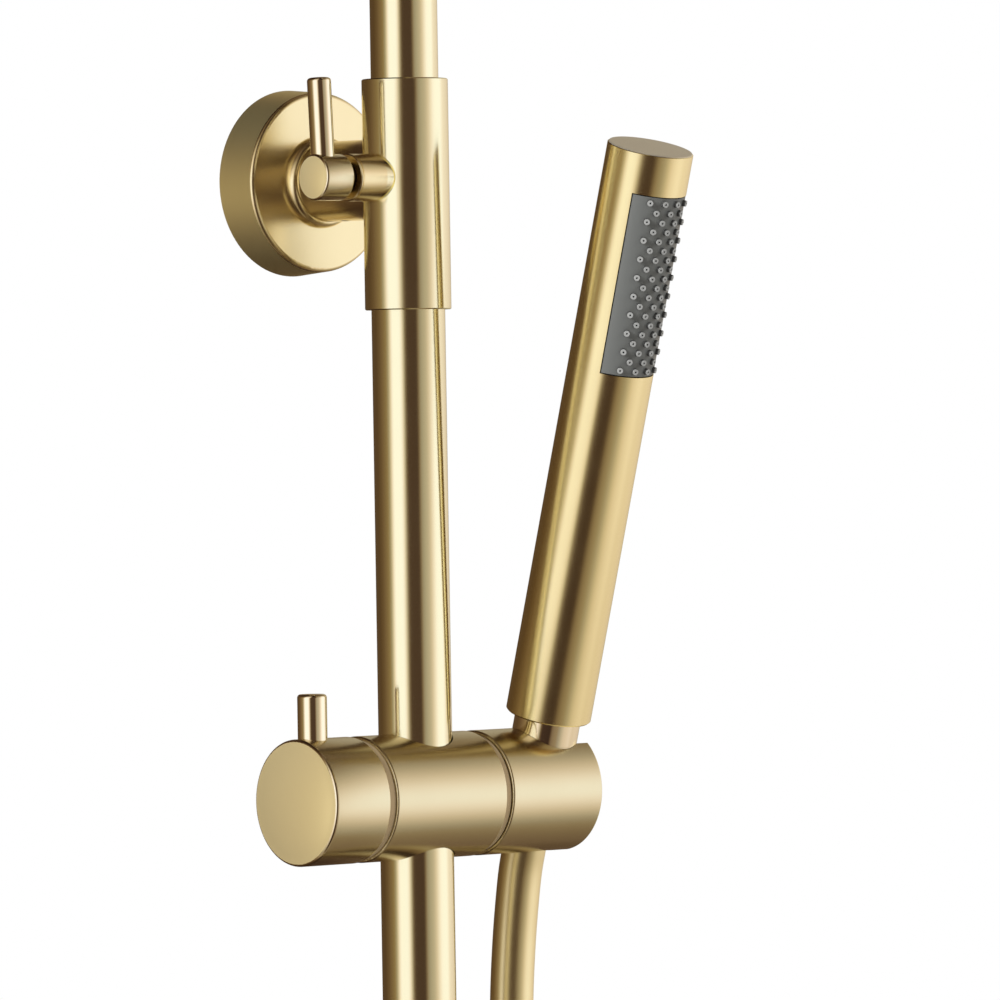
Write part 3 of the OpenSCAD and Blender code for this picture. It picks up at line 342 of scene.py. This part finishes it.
def hoseTube(name, line, setup):
    curve = bpy.data.curves.new(name, "CURVE")
    curve.dimensions = "3D"
    spline = curve.splines.new("POLY")
    spline.points.add(len(line) - 1)
    for point, place in zip(spline.points, line):
        point.co = (*place, 1)
    curve.bevel_depth = setup["diameter"] / 2
    curve.bevel_resolution = setup["roundness"]
    curve.use_fill_caps = True
    tube = bpy.data.objects.new(name, curve)
    bpy.context.scene.collection.objects.link(tube)
    selectOnly(tube)
    bpy.ops.object.convert(target="MESH")
    tube = bpy.context.object
    bpy.ops.object.shade_smooth_by_angle(angle=math.radians(setup["sharpAngle"]))
    tube.data.materials.clear()
    tube.data.materials.append(hoseGold)
    return tube


# At t along a blend, the far body's share is t * t * (3 - 2 * t): this is the t for a share
def blendPlace(share):
    return 0.5 - math.sin(math.asin(1 - 2 * share) / 3)


def makeHose(setup):
    points, diameter = setup["points"], setup["diameter"]
    line = smoothRoute(points, setup["steps"])
    arcStart, arcEnd = (point * setup["steps"] for point in setup["arc"])
    arc, rise = line[arcStart:arcEnd + 1], line[arcEnd:]
    rest = line[:arcStart + 1]
    pieces = []
    for name, length, low, high in setup["stretches"]:
        top, rest = splitRoute(rest, length)
        pieces.append((name, top, low, high, top[-1], top[0]))
    # The loop is cut into its drop, its arc and its rise, each given the ends of a blend
    # between the column and the slider's carriage
    place = blendPlace(setup["arcShare"])
    column, carriage = "column", "slider_carriage"
    below = rest[0] + (rest[-1] - rest[0]) / (1 - place)
    pieces.append(("hose_drop", rest, column, carriage, below, rest[0]))
    far = Vector((setup["arcBlend"], 0, 0))
    pieces.append(("hose_arc", arc, column, carriage, arc[0] - far * place,
                   arc[0] + far * (1 - place)))
    pieces.append(("hose_rise", rise, column, carriage, rise[-1],
                   rise[-1] + (rise[0] - rise[-1]) / place))
    for name, part, low, high, start, end in pieces:
        tube = hoseTube(name, part, setup)
        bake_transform(tube)
        if name == "hose_at_wand":
            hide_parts("hose")
    print("hose made,", round(routeLength(line), 3), "m long")


makeHose(hoseSetup)


wandSetup = {
    "foot": (0.0518, -0.058, -0.201),   # metres, where its axis crosses the holder's
    "lean": 16.3,           # degrees from upright, towards the front
    "top": 0.2183,          # metres along the axis to the end of the casing
    "capDepth": 0.0003,     # metres, what the end's own finish takes in
}


def wandAxis(setup):
    lean = math.radians(setup["lean"])
    return Vector((0, -math.sin(lean), math.cos(lean)))


padSetup = {
    "face": 0.01395,        # metres, radius of the pad's face
    "nozzleTop": 0.0151,    # and the radius that the nozzles reach
    "faceDepth": 0.0002,    # metres, what the face's own tone takes in
    # tone from the pad's face, at 0, to the tips of the nozzles, at 1; the dark stops round
    # the nozzles' feet and on their sides are painted shade
    "tones": [(0.0, "#3c3c3b"), (0.12, "#707270"), (0.17, "#707270"), (0.21, "#414141"),
              (0.72, "#484847"), (0.88, "#9fa09e"), (1.0, "#b6b7b5")],
    "roughness": 0.42,
    "grain": 0.0006,        # metres; the mould's grain is finer, too fine to show
    "grainDepth": 0.00001,
}


# Moulded silicone: dull grey face, darker below it, with painted shade round the nozzles'
# feet and down their sides, and paler at their tips
def padSiliconeAndShade(wand, setup):
    material = newMaterial("moulded_silicone_pad_painted_shade")
    tree = material.node_tree
    place = addNode(tree, "ShaderNodeTexCoord").outputs["Object"]
    local = addNode(tree, "ShaderNodeMapping", {"vector_type": "TEXTURE"}, {
        "Vector": place, "Location": wand["foot"],
        "Rotation": (math.radians(wand["lean"]), 0, 0)})
    flat = addNode(tree, "ShaderNodeVectorMath", {"operation": "MULTIPLY"},
                   {0: local.outputs["Vector"], 1: (1, 1, 0)})
    radius = addNode(tree, "ShaderNodeVectorMath", {"operation": "LENGTH"},
                     {0: flat.outputs["Vector"]})
    height = addNode(tree, "ShaderNodeMapRange", inputs={
        "Value": radius.outputs["Value"], "From Min": setup["face"] - setup["faceDepth"],
        "From Max": setup["nozzleTop"]})
    tone = addNode(tree, "ShaderNodeValToRGB", inputs={"Fac": height.outputs["Result"]})
    fillRamp(tone, setup["tones"])
    grain = addNode(tree, "ShaderNodeTexNoise", inputs={
        "Vector": place, "Scale": 1 / setup["grain"], "Detail": 2.0})
    bump = addNode(tree, "ShaderNodeBump", inputs={
        "Distance": setup["grainDepth"], "Height": grain.outputs["Fac"]})
    shader = addNode(tree, "ShaderNodeBsdfPrincipled", inputs={
        "Base Color": tone.outputs["Color"], "Roughness": setup["roughness"],
        "Normal": bump.outputs["Normal"]})
    return finishMaterial(material, shader.outputs["BSDF"])


# Goes into edit mode with only the chosen faces selected
def editFaces(piece, chosen):
    if bpy.context.mode != "OBJECT":
        bpy.ops.object.mode_set(mode="OBJECT")
    selectOnly(piece)
    bpy.ops.object.mode_set(mode="EDIT")
    bpy.ops.mesh.select_mode(type="FACE")
    bpy.ops.mesh.select_all(action="DESELECT")
    bpy.ops.object.mode_set(mode="OBJECT")
    for face in piece.data.polygons:
        face.select = chosen(face)
    bpy.ops.object.mode_set(mode="EDIT")


# The object goes back to the origin, and its place is in its mesh
def settlePlace(piece):
    bpy.ops.object.mode_set(mode="OBJECT")
    bpy.ops.object.transform_apply(location=True, rotation=True, scale=True)


# Turned knobs: a bar with a rounded rim and a slightly crowned face. In metres: the rim's
# radius, how far the crown stands out, and how far the bar ends before its CAD solid does
knobSetup = {
    "slider_lock_knob": {"edge": 0.0011, "crown": 0.0025, "setBack": 0.0009},
    "riser_lock_knob": {"edge": 0.0009, "crown": 0.0009, "setBack": 0.0003},
    "sides": 128,
    "edgeSteps": 6,         # of the rounded rim
    "rings": 9,             # of the crown
    "sharpAngle": 35,       # degrees
    "faceEnd": -0.93,       # normals further out than this belong to the face,
    "rimEnd": -0.2,         # and from there to this one to the polished rim
}


# The bar is modelled upright and lies along X, so its own z points out at -X
def makeKnob(nodeName, setup):
    shape, rings = setup[nodeName], setup["rings"]
    low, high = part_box(nodeName)
    length = high.x - low.x
    radius = (high.y - low.y) / 2
    centre = middle(nodeName)
    deselectAll()
    bpy.ops.mesh.primitive_cylinder_add(
        vertices=setup["sides"], radius=radius, depth=length - shape["setBack"],
        location=(centre.x + shape["setBack"] / 2, centre.y, centre.z),
        rotation=(0, math.radians(-90), 0))
    knob = bpy.context.object
    knob.name = nodeName + "_turned"
    editFaces(knob, lambda face: abs(face.normal.z) > 0.9)     # both ends
    bpy.ops.mesh.bevel(offset=shape["edge"], segments=setup["edgeSteps"], affect="EDGES")
    editFaces(knob, lambda face: face.normal.z > 0.9       # the outer end's flat
              and len(face.vertices) == setup["sides"])
    flat = radius - shape["edge"]
    rise = 0.0
    for ring in range(1, rings):    # the crown, ring by ring towards its middle
        bpy.ops.mesh.inset(thickness=flat / rings, depth=0)
        outward = shape["crown"] * (1 - (1 - ring / rings) ** 2)
        bpy.ops.transform.translate(value=(-(outward - rise), 0, 0))
        rise = outward
    bpy.ops.mesh.poke()
    settlePlace(knob)
    bpy.ops.object.shade_smooth_by_angle(angle=math.radians(setup["sharpAngle"]))
    for finish in (sliderGold, faceGold, pinGold):
        knob.data.materials.append(finish)
    for face in knob.data.polygons:
        if face.normal.x < setup["faceEnd"]:
            face.material_index = 1
        elif face.normal.x < setup["rimEnd"]:
            face.material_index = 2
    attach(knob, cadNodes[nodeName]["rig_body"])
    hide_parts(nodeName)


for nodeName in ("slider_lock_knob", "riser_lock_knob"):
    makeKnob(nodeName, knobSetup)
print("knobs turned")


# Rounded collar that the arm stands out of, in front of the rosette
collarSetup = {
    "armRadius": 0.0132,    # metres, as all of these
    "bead": 0.0020,         # radius of its bead
    "reach": 0.0034,        # how far the bead stands out
    "face": -0.0153,        # the rosette's face, along Y
    "sunk": 0.0001,         # how far its flat back goes into the rosette
    "sides": (128, 32),     # round the arm, and round the bead
    "sharpAngle": 50,       # degrees
}


def makeCollar(setup):
    deselectAll()
    around, across = setup["sides"]
    bpy.ops.mesh.primitive_torus_add(
        major_radius=setup["armRadius"], minor_radius=setup["bead"],
        major_segments=around, minor_segments=across,
        location=(0, setup["face"], 0), rotation=(math.radians(90), 0, 0))
    collar = bpy.context.object
    collar.name = "arm_collar_bead"
    editFaces(collar, lambda face: True)
    bpy.ops.transform.resize(value=(1, setup["reach"] / setup["bead"], 1))
    bpy.ops.mesh.bisect(plane_co=(0, setup["face"] + setup["sunk"], 0),
                        plane_no=(0, 1, 0), clear_outer=True, use_fill=True)
    settlePlace(collar)
    bpy.ops.object.shade_smooth_by_angle(angle=math.radians(setup["sharpAngle"]))
    collar.data.materials.append(satinGold)
    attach(collar, cadNodes["wall_arm"]["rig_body"])


makeCollar(collarSetup)
print("collar made")


# Pieces that aren't of coated brass, by the slot of their finish
innerSlots = {
    "raw_brass": ("wall_base_plate", "slider_clamp_shoe", "tilt_bolt",
                  "slider_clamp_screw", "hose_swivel", "wand_connector", "flow_spindle",
                  "temperature_spindle", "inlet_unions"),
    "black_steel": ("arm_grub_screw", "tilt_spring_washer"),
    "white_plastic": ("riser_clamp_shoe", "riser_guide_ring", "riser_end_plug",
                      "ball_seat_ring", "slider_bush", "wand_core", "flow_cartridge",
                      "temperature_cartridge"),
    "black_rubber": ("riser_seals", "ball_seal", "wand_seal", "rail_seal", "inlet_washers"),
    "grey_rubber": ("head_nozzles",),
}
patchSetup = {              # metres
    "faceDepth": 0.0002,    # what the finish of a knob's face takes in
    "sleeveBoss": 0.0146,   # past this towards -X, the sleeve is its brushed boss
    "rosetteRim": -0.0141,  # past this towards the wall, the rosette is its rim
}


# The outer face of a knob, on the side it points to, is as the lathe tool left it
def knobFinish(nodeName, kind, side):
    low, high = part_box(nodeName)
    face = high.x if side > 0 else -low.x
    return coatedBrass("turned_" + nodeName, kind, "face", (side, 0, 0),
                       face - patchSetup["faceDepth"])


# The end of the wand's casing is paler than its tube
def wandFinish(setup):
    axis = wandAxis(setup)
    top = axis.dot(Vector(setup["foot"])) + setup["top"]
    return coatedBrass("gold_coated_brass_wand", "wand", "cap", axis,
                       top - setup["capDepth"])


slotOf = {n: slot for slot, names in innerSlots.items() for n in names}
ownFinish = {
    "flow_knob": knobFinish("flow_knob", "satin", -1),
    "temperature_knob": knobFinish("temperature_knob", "satin", 1),
    "wand_holder": knobFinish("wand_holder", "slider", 1),
    "riser_sleeve": coatedBrass("gold_coated_brass_sleeve", "tube", "satin",
                                (-1, 0, 0), patchSetup["sleeveBoss"]),
    "wall_rosette": coatedBrass("gold_coated_brass_rosette", "satin", "rim",
                                (0, 1, 0), patchSetup["rosetteRim"]),
    "wand_body": wandFinish(wandSetup),
    "spray_pad": padSiliconeAndShade(wandSetup, padSetup),
    "slider_body": sliderGold, "lower_rail": tubeGold, "upper_riser": tubeGold,
    "riser_lock_pin": pinGold, "slider_lock_pin": pinGold, "flow_pin": pinGold,
    "temperature_pin": pinGold, "hose_cone_nut": pinGold,
    # the riser clamp screw's dark brown is painted shade in the gap by its knob
    "riser_clamp_screw": shadedThreadBrass, "lock_washer": blastedBrass,
    "tilt_washer": blastedBrass,
}
for nodeName in sorted(cadNodes):
    node = cadNodes[nodeName]
    slotName = slotOf.get(nodeName, "gold_metal")
    node.data.materials.clear()
    node.data.materials.append(ownFinish.get(nodeName, slotFinish[slotName]))
print("pieces dressed")


# A pale floor, and a light tent that only reflections show
stageSetup = {
    "floorDrop": 0.34,      # metres below the hose, whose loop hangs lower with the slider
    "floorRadius": 12.5, "floorSides": 128,
    "floorColour": "#f6f6f5", "floorRoughness": 0.9,
    "floorPaleness": 0.8,   # share of even paleness that the camera sees
    "ambient": 0.32,        # strength of the even white light all round
    "tentRadius": 3.5, "tentHeight": -0.1, "tentStrength": 1.05,
    "tentSides": (96, 48),  # round it, and from pole to pole
    # brightness of the light tent round the column, by compass angle from +X
    "round": [(-180, 1), (-161, 1), (-155, 0.85), (-149, 0.45), (-144, 0.13), (-138, 0.045),
              (-108, 0.04), (-104, 0.12), (-98, 0.27), (-90, 0.35), (-78, 0.43),
              (-68, 0.6), (-58, 0.83), (-50, 0.97), (-40, 1), (-26, 1), (-14, 0.8),
              (5, 0.7), (20, 0.6), (37, 0.45), (46, 0.25), (56, 0.06), (104, 0.06),
              (123, 0.09), (141, 0.15), (150, 0.19), (158, 0.29), (164, 0.52), (170, 0.84),
              (176, 1)],
    # and by height, as the sine of the angle above the horizon
    "up": [(-1, 0.24), (-0.85, 0.22), (-0.75, 0.23), (-0.66, 0.32), (-0.56, 0.46),
           (-0.44, 0.64), (-0.31, 0.83), (-0.17, 0.96), (-0.05, 1), (0.1, 1), (0.24, 0.92),
           (0.37, 0.76), (0.5, 0.58), (0.6, 0.42), (0.7, 0.25), (0.78, 0.13), (1, 0.1)],
    "lean": -0.41,          # turn of that pattern from the horizon to the top, in radians
    # warmth of the light, by brightness and then by compass angle
    "tones": [(0, "#1c130d"), (0.035, "#443329"), (0.07, "#5a4835"), (0.115, "#6f5c49"),
              (0.21, "#8e7d62"), (0.28, "#9a907e"), (0.37, "#aea490"), (0.58, "#d6c6b3"),
              (0.86, "#f7ede6"), (1, "#ffffff")],
    "tint": [(-180, "#ffffff"), (40, "#ffffff"), (105, "#fff6e0"), (150, "#fff8dc"),
             (168, "#ffffff")],
}


# Painted floor: even, matt and nearly white
def makeFloor(setup):
    material = newMaterial("pale_floor")
    tree = material.node_tree
    shader = addNode(tree, "ShaderNodeBsdfPrincipled", inputs={
        "Base Color": linearRgb(setup["floorColour"]),
        "Roughness": setup["floorRoughness"]})
    path = addNode(tree, "ShaderNodeLightPath")
    share = addNode(tree, "ShaderNodeMath", {"operation": "MULTIPLY"}, {
        0: path.outputs["Is Camera Ray"], 1: setup["floorPaleness"]})
    pale = addNode(tree, "ShaderNodeEmission", inputs={
        "Color": linearRgb(setup["floorColour"])})
    mix = addNode(tree, "ShaderNodeMixShader", inputs={
        0: share.outputs["Value"], 1: shader.outputs["BSDF"],
        2: pale.outputs["Emission"]})
    finishMaterial(material, mix.outputs["Shader"])
    bpy.ops.mesh.primitive_circle_add(
        vertices=setup["floorSides"], radius=setup["floorRadius"], fill_type="NGON",
        location=(0, 0, cadLow.z - setup["floorDrop"]))
    floor = bpy.context.object
    floor.name = "floor"
    floor.data.materials.append(material)
    floor.visible_glossy = False


# Glowing cloth round the column: what the metal shows, with dark gaps between its panels
def makeTent(setup):
    material = newMaterial("light_tent")
    tree = material.node_tree
    place = addNode(tree, "ShaderNodeTexCoord").outputs["Object"]
    height = addNode(tree, "ShaderNodeSeparateXYZ", inputs={"Vector": place})
    lean = addNode(tree, "ShaderNodeMath", {"operation": "MULTIPLY"}, {
        0: height.outputs["Z"], 1: setup["lean"] / setup["tentRadius"]})
    leaning = addNode(tree, "ShaderNodeVectorRotate", {"rotation_type": "Z_AXIS"}, {
        "Vector": place, "Angle": lean.outputs["Value"]})
    compass = addNode(tree, "ShaderNodeTexGradient", {"gradient_type": "RADIAL"},
                      {"Vector": leaning.outputs["Vector"]})
    panels = addNode(tree, "ShaderNodeValToRGB", inputs={"Fac": compass.outputs["Fac"]})
    fillRamp(panels, [((a + 180) / 360, tone) for a, tone in setup["round"]])
    span = addNode(tree, "ShaderNodeMapRange", inputs={
        "Value": height.outputs["Z"], "From Min": -setup["tentRadius"],
        "From Max": setup["tentRadius"]})
    up = addNode(tree, "ShaderNodeValToRGB", inputs={"Fac": span.outputs["Result"]})
    fillRamp(up, [((s + 1) / 2, tone) for s, tone in setup["up"]])
    both = addNode(tree, "ShaderNodeMath", {"operation": "MULTIPLY"},
                   {0: panels.outputs["Color"], 1: up.outputs["Color"]})
    tones = addNode(tree, "ShaderNodeValToRGB", inputs={"Fac": both.outputs["Value"]})
    fillRamp(tones, setup["tones"])
    tint = addNode(tree, "ShaderNodeValToRGB", inputs={"Fac": compass.outputs["Fac"]})
    fillRamp(tint, [((a + 180) / 360, tone) for a, tone in setup["tint"]])
    tinted = addNode(tree, "ShaderNodeMix", {"data_type": "RGBA", "blend_type": "MULTIPLY"},
                     {"Factor": 1.0, 6: tones.outputs["Color"], 7: tint.outputs["Color"]})
    glow = addNode(tree, "ShaderNodeEmission", inputs={
        "Color": tinted.outputs[2], "Strength": setup["tentStrength"]})
    finishMaterial(material, glow.outputs["Emission"])
    rail = middle("lower_rail")
    around, upright = setup["tentSides"]
    bpy.ops.mesh.primitive_uv_sphere_add(
        segments=around, ring_count=upright, radius=setup["tentRadius"],
        location=(rail.x, rail.y, setup["tentHeight"]))
    tent = bpy.context.object
    tent.name = "light_tent"
    tent.data.materials.append(material)
    tent.visible_camera = tent.visible_diffuse = tent.visible_shadow = False
    tent.visible_transmission = False


# White wherever the camera or a reflection looks past everything, and dimmer as a light
def makeWorld(setup):
    world = bpy.data.worlds.new("studio")
    bpy.context.scene.world = world
    world.use_nodes = True
    tree = world.node_tree
    tree.nodes.clear()
    path = addNode(tree, "ShaderNodeLightPath")
    seen = addNode(tree, "ShaderNodeMath", {"operation": "MAXIMUM"}, {
        0: path.outputs["Is Camera Ray"], 1: path.outputs["Is Glossy Ray"]})
    seen = addNode(tree, "ShaderNodeMath", {"operation": "MAXIMUM"}, {
        0: seen.outputs["Value"], 1: path.outputs["Is Transmission Ray"]})
    ambient = addNode(tree, "ShaderNodeBackground", inputs={
        "Color": (1, 1, 1, 1), "Strength": setup["ambient"]})
    white = addNode(tree, "ShaderNodeBackground", inputs={
        "Color": (1, 1, 1, 1), "Strength": 1.0})
    mix = addNode(tree, "ShaderNodeMixShader", inputs={
        0: seen.outputs["Value"], 1: ambient.outputs["Background"],
        2: white.outputs["Background"]})
    addNode(tree, "ShaderNodeOutputWorld", inputs={"Surface": mix.outputs["Shader"]})


lampSetup = {
    "aimHeight": -0.12,     # metres, on the rail
    "lamps": [
        # name, compass angle from +X, height angle, distance, size, watts
        ("softbox_left", 180, 25, 2.0, 0.9, 50),
        ("softbox_right", -50, 20, 2.2, 1.2, 14),
    ],
}


def makeLamps(setup):
    rail = middle("lower_rail")
    aim = Vector((rail.x, rail.y, setup["aimHeight"]))
    for name, angle, lift, distance, size, watts in setup["lamps"]:
        turn, up = math.radians(angle), math.radians(lift)
        out = Vector((math.cos(turn) * math.cos(up), math.sin(turn) * math.cos(up),
                      math.sin(up)))
        lamp = bpy.data.objects.new(name, bpy.data.lights.new(name, "AREA"))
        bpy.context.scene.collection.objects.link(lamp)
        lamp.data.size = size
        lamp.data.energy = watts
        lamp.location = aim + out * distance
        lamp.rotation_mode = "QUATERNION"
        lamp.rotation_quaternion = (-out).to_track_quat("-Z", "Y")
        lamp.visible_glossy = False


makeFloor(stageSetup)
makeTent(stageSetup)
makeWorld(stageSetup)
makeLamps(lampSetup)
bpy.context.scene.view_settings.view_transform = "Standard"
print("studio ready")
